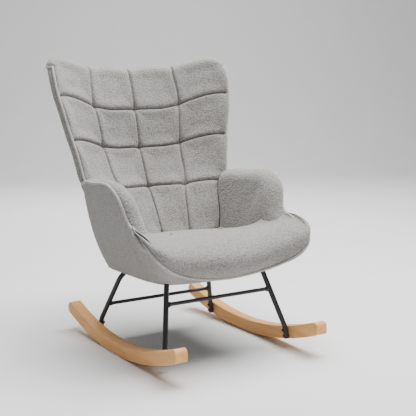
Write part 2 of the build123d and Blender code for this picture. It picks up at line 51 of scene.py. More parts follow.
TO_FRAME = np.array([0.0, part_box("rocker_left")[0].y - ROCKER_FRONT_Y, 0.0])

# Seam surface of the back: height, y at the middle, x and y of the wing's edge.
BACK_ROWS = np.array([
    (0.335, 0.150, 0.198, 0.092),
    (0.445, 0.211, 0.228, 0.120),
    (0.521, 0.258, 0.259, 0.149),
    (0.560, 0.280, 0.281, 0.166),
    (0.600, 0.298, 0.289, 0.178),
    (0.662, 0.321, 0.300, 0.190),
    (0.720, 0.334, 0.312, 0.206),
    (0.802, 0.350, 0.330, 0.219),
    (0.880, 0.374, 0.343, 0.241),
    (0.920, 0.389, 0.345, 0.253),
    (0.960, 0.404, 0.341, 0.276),
    (1.000, 0.418, 0.326, 0.306),
])
# Cross seams and the two ends: height at the middle, rise towards the wings.
SEAM_ROWS = ((0.345, 0.000), (0.521, 0.014), (0.662, 0.042), (0.802, 0.055), (0.925, 0.046))
WING_NORMAL = np.array([0.62, 0.78, 0.0])  # from the wing's front edge to its rear edge
WING_OUTWARD = np.array([0.78, -0.62, 0.0])
BACK_MID_T, BACK_EDGE_T = 0.058, 0.025  # thickness of the back at the middle and at the wings
REAR_POWER = 2.3  # how late the rear panel bends forward towards the wings
BACK_SHELL_LOW = 0.520  # lower edge of the rear panel, inside the outer shell
ARM_T = 0.066
ARM_ROOT = (0.284, -0.213, 0.404)  # lower end of the arm's roll, inside the seat's corner
TOP_ROLL_H = 0.021
EAR_FROM = 0.86  # share of the half width where the top roll starts to fade into the wing's edge
COLUMN_SPREAD = 0.008  # how far the outer column seams bow away from the middle
EAR_DROP = 0.015  # how far the wing's tip rounds off
TUCK_H = 0.004  # how far the lowest panels turn back beside the arms
PUFF_H = 0.0165  # lift of a puff's middle
SEAM_H = 0.006  # lift of a seam midway between two crossings
PANEL_WIDTH, PANEL_HEIGHT = 0.155, 0.145  # about one puff, to turn panel shares into metres
PANELS = 4  # puffs across the back, and up it
FURROW_H, FURROW_W = 0.0065, 0.0034  # depth and width of a seam's furrow
DIMPLE_H, DIMPLE_W = 0.0075, 0.012  # depth and width of a crossing's dimple
QUILT_CELLS, CLOTH_CELLS = 34, 9  # cells a panel in the cover and in its cloth simulation
FREE_WIDTH = 0.045  # distance from a seam at which the filling moves the cover fully

PIPING_R = 0.0044

# Upper edge of the outer shell on the sitter's left, from the front's middle to the rear's:
# along the seat's front edge, up the arm's front, over the arm's top and round behind.
RIM = np.array([
    (0.000, -0.291, 0.272),
    (0.085, -0.297, 0.279),
    (0.170, -0.319, 0.300),
    (0.222, -0.337, 0.320),
    (0.256, -0.343, 0.342),
    (0.276, -0.338, 0.364),
    (0.288, -0.322, 0.392),
    (0.293, -0.290, 0.415),
    (0.291, -0.242, 0.431),
    (0.288, -0.204, 0.443),
    (0.291, -0.180, 0.463),
    (0.300, -0.166, 0.503),
    (0.309, -0.147, 0.541),
    (0.315, -0.114, 0.567),
    (0.316, -0.062, 0.577),
    (0.311, 0.030, 0.572),
    (0.304, 0.105, 0.570),
    (0.295, 0.163, 0.558),
    (0.269, 0.210, 0.543),
    (0.202, 0.268, 0.543),
    (0.103, 0.315, 0.543),
    (0.000, 0.331, 0.543),
])
RIM_ARM_START, RIM_ARM_END = 9, 17  # the stretch of the rim that is the arm's
# The shell's lower edge, point for point under the rim.
HEM = np.array([
    (0.000, -0.225),
    (0.060, -0.225),
    (0.110, -0.219),
    (0.140, -0.211),
    (0.158, -0.202),
    (0.170, -0.193),
    (0.180, -0.181),
    (0.187, -0.166),
    (0.192, -0.148),
    (0.195, -0.130),
    (0.197, -0.120),
    (0.199, -0.108),
    (0.200, -0.094),
    (0.201, -0.074),
    (0.202, -0.046),
    (0.204, 0.024),
    (0.206, 0.080),
    (0.206, 0.134),
    (0.200, 0.186),
    (0.176, 0.222),
    (0.100, 0.238),
    (0.000, 0.241),
])
HEM_Z = 0.254
# The seam where the left arm's inner face meets the back; a dark tube along it is painted shade.
# The points were found by casting rays on those two surfaces, and are rounded to millimetres.
ARM_GAP = np.array([
    (0.250, 0.151, 0.558),
    (0.236, 0.146, 0.536),
    (0.232, 0.141, 0.515),
    (0.227, 0.134, 0.493),
    (0.220, 0.116, 0.451),
    (0.214, 0.104, 0.408),
    (0.208, 0.101, 0.364),
])
ARM_GAP_R = 0.0022
SHELL_T = 0.009
SHELL_CROWN = 0.007  # how far the shell's sides swell between rim and hem
SEAT_TOP_ROWS = 44  # rows of points from the seat's rear to its crown line


# ---------------------------------------------------------------- curves and meshes
def spline(knots, values, at):
    """Natural cubic spline through values at knots, read at the places asked for."""
    knots, values, at = np.asarray(knots, float), np.asarray(values, float), np.asarray(at, float)
    flat = values.reshape(len(knots), -1)
    gaps = np.diff(knots)
    count = len(knots)
    system = np.eye(count)
    right = np.zeros_like(flat)
    for i in range(1, count - 1):
        system[i, i - 1 : i + 2] = gaps[i - 1], 2 * (gaps[i - 1] + gaps[i]), gaps[i]
        right[i] = 6 * ((flat[i + 1] - flat[i]) / gaps[i] - (flat[i] - flat[i - 1]) / gaps[i - 1])
    bend = np.linalg.solve(system, right)
    i = np.clip(np.searchsorted(knots, at, side="right") - 1, 0, count - 2)
    gap = gaps[i][..., None]
    a = (knots[i + 1] - at)[..., None] / gap
    b = 1 - a
    made = a * flat[i] + b * flat[i + 1]
    made += ((a**3 - a) * bend[i] + (b**3 - b) * bend[i + 1]) * gap**2 / 6
    return made.reshape(at.shape + values.shape[1:])


def chord(points):
    """Distance along a row of points, from 0 to 1."""
    run = np.concatenate([[0], np.cumsum(np.linalg.norm(np.diff(points, axis=0), axis=1))])
    return run / run[-1]


def resample(points, count):
    """Evenly spaced points on the smooth curve through the given ones."""
    fine = spline(chord(points), points, np.linspace(0, 1, 20 * len(points)))
    return spline(chord(fine), fine, np.linspace(0, 1, count))


def bezier(a, b, c, d, t):
    """Points at t on cubic curves from a to d, with the handles b and c."""
    t = np.asarray(t)[..., None]
    return a * (1 - t) ** 3 + 3 * b * t * (1 - t) ** 2 + 3 * c * t * t * (1 - t) + d * t**3


def bezier_rows(a, b, c, d, places):
    """Grid of points: one curve for each row of a, b, c and d, read at the same places."""
    return np.stack([bezier(a, b, c, d, np.full(len(a), t)) for t in places], 1)


def smoothstep(low, high, value):
    """Soft step from 0 at low to 1 at high."""
    t = np.clip((value - low) / (high - low), 0, 1)
    return t * t * (3 - 2 * t)


def grid_normals(grid, closed=False):
    """Unit normals of a grid of points; the grid may close on itself along its first axis."""
    if closed:
        wrapped = np.concatenate([grid[-1:], grid, grid[:1]])
        along = (wrapped[2:] - wrapped[:-2]) / 2
    else:
        along = np.gradient(grid, axis=0)
    across = np.gradient(grid, axis=1)
    normal = np.cross(along, across)
    return normal / np.maximum(np.linalg.norm(normal, axis=-1, keepdims=True), 1e-12)


def quads(rows, columns, start=0, closed=False, flip=False):
    """Faces of a grid of points numbered row by row from start."""
    faces = []
    for i in range(rows if closed else rows - 1):
        for j in range(columns - 1):
            a = start + i * columns + j
            b = start + ((i + 1) % rows) * columns + j
            faces.append((a, b, b + 1, a + 1) if not flip else (a, a + 1, b + 1, b))
    return faces


def new_mesh(name, points, faces):
    """Smooth-shaded object in the scene, moved to the shared frame."""
    mesh = bpy.data.meshes.new(name)
    mesh.from_pydata([tuple(p) for p in np.asarray(points) + TO_FRAME], [], faces)
    mesh.update()
    piece = bpy.data.objects.new(name, mesh)
    bpy.context.scene.collection.objects.link(piece)
    mesh.polygons.foreach_set("use_smooth", [True] * len(mesh.polygons))
    return piece


def layer(name, outer, inner, closed=False):
    """Closed body between two grids of the same shape, joined round their borders."""
    rows, columns = outer.shape[:2]
    size = rows * columns
    faces = quads(rows, columns, 0, closed) + quads(rows, columns, size, closed, flip=True)
    for i in range(rows if closed else rows - 1):
        k = (i + 1) % rows
        for j, turn in ((0, False), (columns - 1, True)):
            a, b = i * columns + j, k * columns + j
            faces.append((a, a + size, b + size, b) if not turn else (a, b, b + size, a + size))
    if not closed:
        for j in range(columns - 1):
            for i, turn in ((0, True), (rows - 1, False)):
                a, b = i * columns + j, i * columns + j + 1
                faces.append(
                    (a, a + size, b + size, b) if not turn else (a, b, b + size, a + size))
    return new_mesh(name, np.concatenate([outer.reshape(-1, 3), inner.reshape(-1, 3)]), faces)


def mirrored(points):
    """The same points on the sitter's other side."""
    return points * np.array([-1.0, 1.0, 1.0])


def tube(name, path, radius, sides=10):
    """Round cord along a row of points, closed at both ends."""
    length = np.linalg.norm(np.diff(path, axis=0), axis=1).sum()
    path = resample(path, max(8, int(length / 0.004)))
    tangent = np.gradient(path, axis=0)
    tangent /= np.linalg.norm(tangent, axis=1, keepdims=True)
    side = np.cross(tangent[0], (0.1, 0.3, 1.0))
    angles = np.arange(sides) * 2 * np.pi / sides
    rings = []
    for point, along in zip(path, tangent):
        side = side - along * (side @ along)
        side /= np.linalg.norm(side)
        up = np.cross(along, side)
        wobble = 1 + 0.07 * noise.noise(Vector(point * 90))
        circle = np.outer(np.cos(angles), side) + np.outer(np.sin(angles), up)
        rings.append(point + radius * wobble * circle)
    count = len(path)
    faces = []
    for i in range(count - 1):
        for j in range(sides):
            a, b = i * sides + j, i * sides + (j + 1) % sides
            faces.append((a, b, b + sides, a + sides))
    ends = [tuple(reversed(range(sides))), tuple((count - 1) * sides + j for j in range(sides))]
    return new_mesh(name, np.concatenate(rings), faces + ends)


def facing(grid, heading, place, closed=False):
    """Normals of a grid, turned so that the one at a place in it points the given way."""
    normal = grid_normals(grid, closed)
    return normal if np.dot(normal[place], heading) > 0 else -normal


def read_points(mesh):
    """Places of a mesh's vertices, one row each."""
    points = np.zeros(len(mesh.vertices) * 3)
    mesh.vertices.foreach_get("co", points)
    return points.reshape(-1, 3)


def write_points(mesh, points):
    """Move a mesh's vertices to new places."""
    mesh.vertices.foreach_set("co", points.ravel())
    mesh.update()


def inflate(piece, hold, pressure, cap, frames=18):
    """Cloth simulation that puffs the outer side out between its stitches, no further than cap."""
    outer = hold.size
    inner = len(piece.data.vertices) - outer
    weights = np.concatenate([hold.ravel(), np.ones(inner)])
    held = piece.vertex_groups.new(name="held")
    for weight in np.unique(weights):
        held.add([int(i) for i in np.nonzero(weights == weight)[0]], float(weight), "REPLACE")
    start = read_points(piece.data)
    cloth = piece.modifiers.new("cloth", "CLOTH")
    cloth.settings.vertex_group_mass = "held"
    cloth.settings.use_pressure = True
    cloth.settings.uniform_pressure_force = pressure
    cloth.settings.effector_weights.gravity = 0
    cloth.settings.quality = 5
    cloth.settings.tension_stiffness = 12
    cloth.settings.compression_stiffness = 12
    cloth.settings.shear_stiffness = 6
    cloth.settings.bending_stiffness = 0.6
    cloth.collision_settings.use_collision = False
    cloth.point_cache.frame_start = 1
    cloth.point_cache.frame_end = frames
    scene = bpy.context.scene
    for number in range(1, frames + 1):
        scene.frame_set(number)
    evaluated = piece.evaluated_get(bpy.context.evaluated_depsgraph_get())
    moved = read_points(evaluated.data) - start
    piece.modifiers.remove(cloth)
    scene.frame_set(1)
    length = np.linalg.norm(moved, axis=1, keepdims=True)
    moved *= cap * np.tanh(length / cap) / np.maximum(length, 1e-9)
    moved[outer:] = 0
    return moved


def nap(piece, height=0.0010, size=0.007):
    """Small uneven lift all over, as curly pile has."""
    points = read_points(piece.data)
    normals = np.zeros(len(points) * 3)
    piece.data.vertices.foreach_get("normal", normals)
    lift = np.array([noise.noise(Vector(p / size)) for p in points])
    write_points(piece.data, points + normals.reshape(-1, 3) * lift[:, None] * height)


# ---------------------------------------------------------------- the back's own surface
def back_row(z):
    """y at the middle, x and y of the edge, at heights z."""
    return np.moveaxis(spline(BACK_ROWS[:, 0], BACK_ROWS[:, 1:], z), -1, 0)


def seam_surface(share, z):
    """Point of the seam surface at a signed share of the half width and a height."""
    middle, edge_x, edge_y = back_row(z)
    power = 1.3 + 0.9 * smoothstep(0.50, 0.66, z)
    y = middle - (middle - edge_y) * np.abs(share) ** power
    outward = COLUMN_SPREAD * np.sin(np.pi * np.clip(np.abs(share), 0, 1)) ** 2
    outward = outward * smoothstep(0.45, 0.62, z) * (1 - smoothstep(0.84, 0.94, z))
    return np.stack([share * edge_x + np.sign(share) * outward, y, z], -1)


def seam_height(share, row):
    """Height at a share of the half width, for a row number from 0 to 4 counted in panels."""
    levels = np.arange(len(SEAM_ROWS))
    base, rise = np.moveaxis(spline(levels, np.array(SEAM_ROWS), row), -1, 0)
    bow = np.abs(share) ** 2.2
    level = smoothstep(0.25, 0.98, np.abs(share))
    top = smoothstep(3.2, 4.0, row)
    tip = np.clip((np.abs(share) - EAR_FROM) / (1 - EAR_FROM), 0, 1) ** 2
    return base + rise * (level + (bow - level) * top) - EAR_DROP * tip * top


def rear_surface(share, z):
    """Point of the plain rear panel behind the seam surface."""
    middle, edge_x, edge_y = back_row(z)
    middle = middle + BACK_MID_T
    edge_x = edge_x + BACK_EDGE_T * WING_NORMAL[0]
    edge_y = edge_y + BACK_EDGE_T * WING_NORMAL[1]
    y = middle - (middle - edge_y) * np.abs(share) ** REAR_POWER
    return np.stack([share * edge_x, y, z], -1)


def roll_over(share, turn):
    """Top roll, from the front surface's top (turn 0) over to the rear panel's top (turn 1)."""
    level = seam_height(share, np.full_like(share, 4.0))
    front, rear = seam_surface(share, level), rear_surface(share, level)
    angle = turn * np.pi
    made = front + (rear - front) * ((1 - np.cos(angle)) / 2)[..., None]
    rounding = np.sqrt(1 - np.clip((np.abs(share) - EAR_FROM) / (1 - EAR_FROM), 0, 1) ** 2)
    made[..., 2] += TOP_ROLL_H * np.sin(angle) * rounding
    return made


def from_seams(share, row):
    """Distances in metres to the nearest column seam and cross seam."""
    column = (share + 1) * 2
    across = np.abs(column - np.round(column)) * PANEL_WIDTH
    along = np.abs(row - np.round(row)) * PANEL_HEIGHT
    return across, along


def puff(share, row):
    """Lift of the tufted surface over its seams; row 4 is the seam behind the top roll."""
    a = np.maximum(np.sin(np.pi * ((share + 1) * 2 % 1.0)), 0) ** 0.5
    b = np.maximum(np.sin(np.pi * (row % 1.0)), 0) ** 0.5
    open_side = smoothstep(0.72, 0.98, np.abs(share))
    a = np.maximum(a, 0.55 * open_side * smoothstep(1.0, 0.9, np.abs(share)))
    return PUFF_H * (a * b) ** 0.7 + SEAM_H * (a * (1 - b) + b * (1 - a))


def stitching(share, row):
    """Narrow furrow along every seam, deeper and wider where two seams cross."""
    across, along = from_seams(share, row)
    furrow = np.maximum(np.exp(-((across / FURROW_W) ** 2)), np.exp(-((along / FURROW_W) ** 2)))
    dimple = np.exp(-(across**2 + along**2) / DIMPLE_W**2)
    inside = 1 - smoothstep(0.97, 0.995, np.abs(share))
    tuck = smoothstep(0.84, 0.97, np.abs(share)) * (1 - smoothstep(1.05, 1.35, row))
    return -(FURROW_H * furrow + DIMPLE_H * dimple) * inside - TUCK_H * tuck


def crowded(panels, cells):
    """Places from 0 to the number of panels, closer together near the seams."""
    t = np.linspace(0, 1, cells + 1)[:-1]
    one = t - 0.62 * np.sin(2 * np.pi * t) / (2 * np.pi)
    return np.append((np.arange(panels)[:, None] + one).ravel(), panels)


def back_point(share, place):
    """Point of the tufted cover's path: 0 to 4 runs up the front, 4 to 5 over the top roll."""
    front = seam_surface(share, seam_height(share, np.minimum(place, 4.0)))
    over = roll_over(share, np.clip(place - 4.0, 0, 1))
    return np.where((place > 4.0)[..., None], over, front)


def back_places(panel):
    """Places along the path for panel numbers; the last panel ends at the seam behind the roll."""
    place = np.linspace(0, 5, 401)
    middle = back_point(np.zeros_like(place), place)
    length = chord(middle)
    third = np.interp(3.0, place, length)
    number = np.where(place <= 3, place, 3 + (length - third) / (1 - third))
    return np.interp(panel, number, place)


def back_grids(cells):
    """Seam surface, panel number and share of the half width, on so many cells a panel."""
    share = crowded(PANELS, cells) / 2 - 1
    panel = crowded(PANELS, cells)
    share, panel = np.meshgrid(share, panel)
    return back_point(share, back_places(panel)), panel, share


def tufted_back():
    """Tufted cover and foam of the inner back, rolled over the top edge."""
    path, panel, share = back_grids(QUILT_CELLS)
    normal = facing(path, (0, -1, 0), (10, path.shape[1] // 2))
    row = np.minimum(panel, 3.9999)
    lift = puff(share, row) + stitching(share, panel)
    across, along = from_seams(share, panel)
    free = smoothstep(0.0, FREE_WIDTH, np.minimum(across, along))
    outer = path + normal * lift[..., None] + pressed_out(path.shape) * free[..., None]
    thick = 0.007 + 0.012 * (1 - np.abs(share) ** 2.5) * (1 - smoothstep(3.55, 3.8, panel))
    thick += 0.022 * smoothstep(0.75, 0.95, np.abs(share)) * (1 - smoothstep(1.05, 1.35, panel))
    inner = path - normal * thick[..., None]
    return layer("back_tufted_pad", outer, inner)


def pressed_out(shape):
    """Cloth simulation of the quilt on a coarser grid: how far the filling moves each point."""
    path, panel, share = back_grids(CLOTH_CELLS)
    normal = facing(path, (0, -1, 0), (10, path.shape[1] // 2))
    outer = path + normal * puff(share, np.minimum(panel, 3.9999))[..., None]
    piece = layer("quilt_simulation", outer, path - normal * 0.015)
    across, along = from_seams(share, panel)
    hold = np.where(np.minimum(across, along) < 0.001, 1.0, 0.0)
    moved = inflate(piece, hold, pressure=4.0, cap=0.008)[: hold.size].reshape(path.shape)
    bpy.data.objects.remove(piece)
    for count in shape[:2]:
        moved = spline(np.linspace(0, 1, len(moved)), moved, np.linspace(0, 1, count))
        moved = moved.swapaxes(0, 1)
    return moved


def wing_edge(z):
    """Front edge line of the sitter's left wing at heights z."""
    return seam_surface(np.ones_like(z), z)


def back_shell():
    """Plain rear panel with the strips down the wings' edges."""
    share = np.linspace(-1, 1, 91)
    rows = np.linspace(0, 1, 90)
    top = seam_height(share, np.full_like(share, 4.0)) - 0.001
    z = BACK_SHELL_LOW + (top - BACK_SHELL_LOW) * rows[:, None]
    rear = rear_surface(np.broadcast_to(share, z.shape), z)
    # Strips from the wing's edge to the rear panel, slightly crowned.
    steps = np.linspace(0, 1, 9)
    left = wing_edge(z[:, -1])
    strip = []
    for step in steps[:-1]:
        crown = 0.004 * np.sin(np.pi * step) ** 0.8
        strip.append(left + WING_NORMAL * BACK_EDGE_T * step + WING_OUTWARD * crown)
    strip = np.stack(strip, 1)
    outer = np.concatenate([mirrored(strip), rear, strip[:, ::-1]], 1)
    normal = facing(outer, (0, 1, 0), (40, outer.shape[1] // 2))
    outer = outer - normal * 0.0015
    return layer("back_outer_panel", outer, outer - normal * 0.005)


# ---------------------------------------------------------------- outer shell
def shell_columns(count):
    """Rim and hem of one half, at matching places."""
    joined = np.concatenate([RIM, HEM], 1)
    places = spline(chord(RIM), joined, np.linspace(0, 1, count))
    rim = places[:, :3]
    hem = np.concatenate([places[:, 3:], np.full((count, 1), HEM_Z)], 1)
    return rim, hem


def outer_shell():
    """Smooth padded bucket below the arms' and the seat's piping."""
    rim, hem = shell_columns(150)
    rearward = smoothstep(0.16, 0.30, rim[:, 1])[:, None]
    side_middle = hem + (rim - hem) * np.array([0.62, 0.62, 0.33])
    rear_middle = hem + (rim - hem) * np.array([0.62, 0.42, 0.33])
    middle = side_middle * (1 - rearward) + rear_middle * rearward
    steps = np.linspace(0, 1, 56)
    half = [hem * (1 - t) ** 2 + middle * 2 * t * (1 - t) + rim * t * t for t in steps]
    half = np.stack(half, 1)
    ring = np.concatenate([half, mirrored(half[-2:0:-1])])
    normal = facing(ring, (1, 0, 0), (75, 20), closed=True)
    crown = SHELL_CROWN * np.sin(np.pi * steps) ** 0.8
    sides = smoothstep(0.24, 0.29, np.abs(ring[:, -1, 0]))
    sides = sides * smoothstep(-0.24, -0.16, ring[:, -1, 1])
    ring = ring + normal * (crown[None, :] * sides[:, None])[..., None]
    return layer("outer_shell_panel", ring, ring - normal * SHELL_T, closed=True)


# ---------------------------------------------------------------- arms
def arm_pad(name, side):
    """Rolled arm pad from the piping over the top and down the inner face to the seat."""
    rim = RIM[RIM_ARM_START + 1 : RIM_ARM_END + 1]
    line = resample(np.concatenate([[ARM_ROOT], rim]), 100)
    tangent = np.gradient(line, axis=0)
    out = np.stack([tangent[:, 0] * 0, -tangent[:, 2], tangent[:, 1]], 1)
    out /= np.linalg.norm(out, axis=1, keepdims=True)
    out *= np.sign(out[len(out) // 2, 2])
    place = chord(line)
    foot_y = -0.185 + 0.310 * smoothstep(-0.25, 1.05, place)
    foot = np.stack([0.218 - 0.014 * place, foot_y, np.full_like(place, 0.352)], 1)
    inward = np.array([-1.0, 0.0, 0.0])
    knee = line + inward * ARM_T - out * 0.034
    brow = line + out * 0.012 + inward * (ARM_T - 0.008)
    turns = np.linspace(0, 1, 24)
    rolled = bezier_rows(line, line + out * 0.016 + inward * 0.006, brow, knee, turns)
    drop = np.linspace(0, 1, 34)[1:]
    low_handle = foot + (knee - foot) * 0.35 + inward * 0.004
    down = bezier_rows(knee, knee + (knee - brow) * 0.8, low_handle, foot, drop)
    outer = np.concatenate([rolled, down], 1)
    # The rear end curls outward, which leaves a dark crease before the back.
    curl = np.clip((place - 0.95) / 0.05, 0, 1)
    curl = 1 - np.sqrt(1 - curl**2)
    inside = np.concatenate([turns, np.ones(len(drop))])
    outer[..., 0] += 0.020 * curl[:, None] * inside[None, :]
    outer[..., 2] -= 0.005 * curl[:, None] * inside[None, :]
    normal = facing(outer, (-1, 0, 0), (45, 30))
    fade = np.concatenate([0.006 + 0.010 * turns, np.full(len(drop), 0.016)])
    inner = outer - normal * fade[None, :, None]
    if side < 0:
        outer, inner = mirrored(outer), mirrored(inner)
    return layer(name, outer, inner)


# ---------------------------------------------------------------- seat cushion
def rim_outward(line):
    """Level directions away from the seat along the left half of its front edge."""
    tangent = np.gradient(line, axis=0)
    out = np.stack([np.abs(tangent[:, 1]), -np.abs(tangent[:, 0]), tangent[:, 2] * 0], 1)
    out[0] = (0, -1, 0)
    return out / np.linalg.norm(out, axis=1, keepdims=True)


def seat_cushion():
    """Thick waterfall cushion whose front laps down to the piping."""
    front = resample(RIM[: RIM_ARM_START + 1], 76)
    share = chord(front)
    out = rim_outward(front)
    corner = smoothstep(0.0, 0.27, front[:, 0])[:, None]
    end = smoothstep(0.89, 1.0, share)[:, None]
    up = np.array([0, 0, 1.0])
    # Crown line over the front edge, and rear line under the back, from the middle to the side.
    crown = np.stack([0.262 * share, -0.165 + 0.010 * share**5, 0.400 + 0.046 * share**4], 1)
    rear = np.stack([0.216 * share, 0.150 - 0.020 * share**2, 0.364 - 0.010 * share**4], 1)
    rear_heading = np.stack([share * 0.004, share * 0 - 0.10, share * 0 + 0.010], 1)
    swell = (0.104 - 0.080 * corner) * (1 - 0.6 * end)
    first = front * np.array([1, 1, 0]) + out * swell * 0.45
    first = first + up * (crown[:, 2:] + 0.009 * corner)
    lift = (0.045 + 0.004 * corner) * (1 - 0.60 * smoothstep(0.60, 1.0, share)[:, None])
    second = front + out * swell + up * lift
    first = first * (1 - end) + (crown + (front - crown) * 0.5 + up * 0.010) * end
    entry = crown - out * 0.06 * (1 - 0.5 * end)
    t_rear = np.linspace(0, 1, SEAT_TOP_ROWS)
    t_front = np.linspace(0, 1, 46)[1:]
    top_part = bezier_rows(rear, rear + rear_heading, entry, crown, t_rear)
    front_part = bezier_rows(crown, first, second, front, t_front)
    half = np.concatenate([top_part, front_part], 1)
    # The corners' raise fades behind the crown line, and the sides turn down against the arms.
    raised = t_rear**3 + 3 * t_rear**2 * (1 - t_rear)
    raised *= 1 - smoothstep(0.60, 1.0, t_rear)
    half[:, :SEAT_TOP_ROWS, 2] -= 0.046 * share[:, None] ** 4 * raised[None, :]
    press = smoothstep(0.90, 1.0, share)[:, None] * (1 - smoothstep(0.80, 1.0, t_rear))[None, :]
    half[:, :SEAT_TOP_ROWS, 2] -= 0.020 * press**2
    outer = np.concatenate([mirrored(half[:0:-1]), half])
    normal = facing(outer, (0, 0, 1), (len(outer) // 2, 30))
    thinning = np.concatenate([np.zeros(SEAT_TOP_ROWS), smoothstep(0.0, 0.9, t_front)])
    depth = 0.055 - 0.043 * thinning
    side = 1 - 0.7 * smoothstep(0.72, 1.0, np.abs(np.linspace(-1, 1, len(outer))))
    inner = outer - normal * (depth[None, :] * side[:, None])[..., None]
    return layer("seat_cushion_cover", outer, inner)


# ---------------------------------------------------------------- materials
def material(name):
    """New material with its nodes, links, shader and object coordinates."""
    made = bpy.data.materials.new(name)
    made.use_nodes = True
    nodes, links = made.node_tree.nodes, made.node_tree.links
    shader = nodes["Principled BSDF"]
    place = nodes.new("ShaderNodeTexCoord")
    return made, nodes, links, shader, place.outputs["Object"]


def node(nodes, kind, **values):
    """New shader node; values are set on its inputs where it has them, else on the node."""
    made = nodes.new(kind)
    for key, value in values.items():
        if key in made.inputs:
            made.inputs[key].default_value = value
        else:
            setattr(made, key, value)
    return made


def ramp(nodes, links, source, stops):
    """Colour output that runs through the stops as the source rises."""
    made = nodes.new("ShaderNodeValToRGB")
    elements = made.color_ramp.elements
    while len(elements) < len(stops):
        elements.new(0.5)
    for element, (position, colour) in zip(elements, stops):
        element.position = position
        element.color = (*colour, 1.0)
    links.new(source, made.inputs["Fac"])
    return made.outputs["Color"]


def add_bump(nodes, links, shader, height, strength, distance):
    """Small relief on the shader from a height."""
    bump = node(nodes, "ShaderNodeBump", Strength=strength, Distance=distance)
    links.new(height, bump.inputs["Height"])
    links.new(bump.outputs["Normal"], shader.inputs["Normal"])


def boucle(name, light, dark, curl=210.0):
    """Curly looped pile: small rounded loops, dark gaps between them and broad soft patches."""
    made, nodes, links, shader, place = material(name)
    warp = node(nodes, "ShaderNodeTexNoise", Scale=130.0, Detail=2.0)
    links.new(place, warp.inputs["Vector"])
    bend = node(nodes, "ShaderNodeVectorMath", operation="MULTIPLY_ADD")
    bend.inputs[1].default_value = (0.007, 0.007, 0.007)
    links.new(warp.outputs["Color"], bend.inputs[0])
    links.new(place, bend.inputs[2])
    loops = node(nodes, "ShaderNodeTexVoronoi", Scale=curl, feature="SMOOTH_F1", Smoothness=0.35)
    links.new(bend.outputs["Vector"], loops.inputs["Vector"])
    strands = node(nodes, "ShaderNodeTexNoise", Scale=520.0, Detail=3.0, Roughness=0.65)
    links.new(bend.outputs["Vector"], strands.inputs["Vector"])
    mixed = node(nodes, "ShaderNodeMath", operation="MULTIPLY_ADD")
    mixed.inputs[1].default_value = 0.35
    links.new(strands.outputs["Fac"], mixed.inputs[0])
    invert = node(nodes, "ShaderNodeMath", operation="SUBTRACT")
    invert.inputs[0].default_value = 0.85
    links.new(loops.outputs["Distance"], invert.inputs[1])
    links.new(invert.outputs["Value"], mixed.inputs[2])
    patches = node(nodes, "ShaderNodeTexNoise", Scale=26.0, Detail=3.0, Roughness=0.6)
    links.new(place, patches.inputs["Vector"])
    tone = node(nodes, "ShaderNodeMath", operation="MULTIPLY_ADD")
    tone.inputs[1].default_value = 0.30
    links.new(patches.outputs["Fac"], tone.inputs[0])
    links.new(mixed.outputs["Value"], tone.inputs[2])
    colour = ramp(nodes, links, tone.outputs["Value"], ((0.45, dark), (0.95, light)))
    links.new(colour, shader.inputs["Base Color"])
    add_bump(nodes, links, shader, mixed.outputs["Value"], 0.6, 0.0035)
    shader.inputs["Roughness"].default_value = 0.95
    shader.inputs["Sheen Weight"].default_value = 0.25
    shader.inputs["Sheen Roughness"].default_value = 0.6
    shader.inputs["Specular IOR Level"].default_value = 0.15
    return made


def beech(name):
    """Oiled beech with long fine grain along the rocker and short dark flecks."""
    made, nodes, links, shader, place = material(name)
    stretch = node(nodes, "ShaderNodeMapping")
    stretch.inputs["Scale"].default_value = (34.0, 2.6, 34.0)
    links.new(place, stretch.inputs["Vector"])
    grain = node(
        nodes, "ShaderNodeTexNoise", Scale=1.6, Detail=8.0, Roughness=0.62, Distortion=0.6)
    links.new(stretch.outputs["Vector"], grain.inputs["Vector"])
    stops = (0.30, (0.70, 0.33, 0.110)), (0.52, (0.82, 0.43, 0.160)), (0.75, (0.88, 0.51, 0.215))
    tone = ramp(nodes, links, grain.outputs["Fac"], stops)
    flecks_at = node(nodes, "ShaderNodeMapping")
    flecks_at.inputs["Scale"].default_value = (900.0, 90.0, 900.0)
    links.new(place, flecks_at.inputs["Vector"])
    flecks = node(nodes, "ShaderNodeTexNoise", Scale=1.0, Detail=1.0)
    links.new(flecks_at.outputs["Vector"], flecks.inputs["Vector"])
    stops = (0.30, (0.62, 0.55, 0.48)), (0.42, (1.0, 1.0, 1.0))
    marks = ramp(nodes, links, flecks.outputs["Fac"], stops)
    # The colour sockets of a mix node: 0 is its factor, 6 and 7 go in, 2 comes out.
    both = node(nodes, "ShaderNodeMix", data_type="RGBA", blend_type="MULTIPLY")
    both.inputs[0].default_value = 0.40
    links.new(tone, both.inputs[6])
    links.new(marks, both.inputs[7])
    links.new(both.outputs[2], shader.inputs["Base Color"])
    add_bump(nodes, links, shader, grain.outputs["Fac"], 0.25, 0.0006)
    shader.inputs["Roughness"].default_value = 0.6
    shader.inputs["Specular IOR Level"].default_value = 0.2
    return made


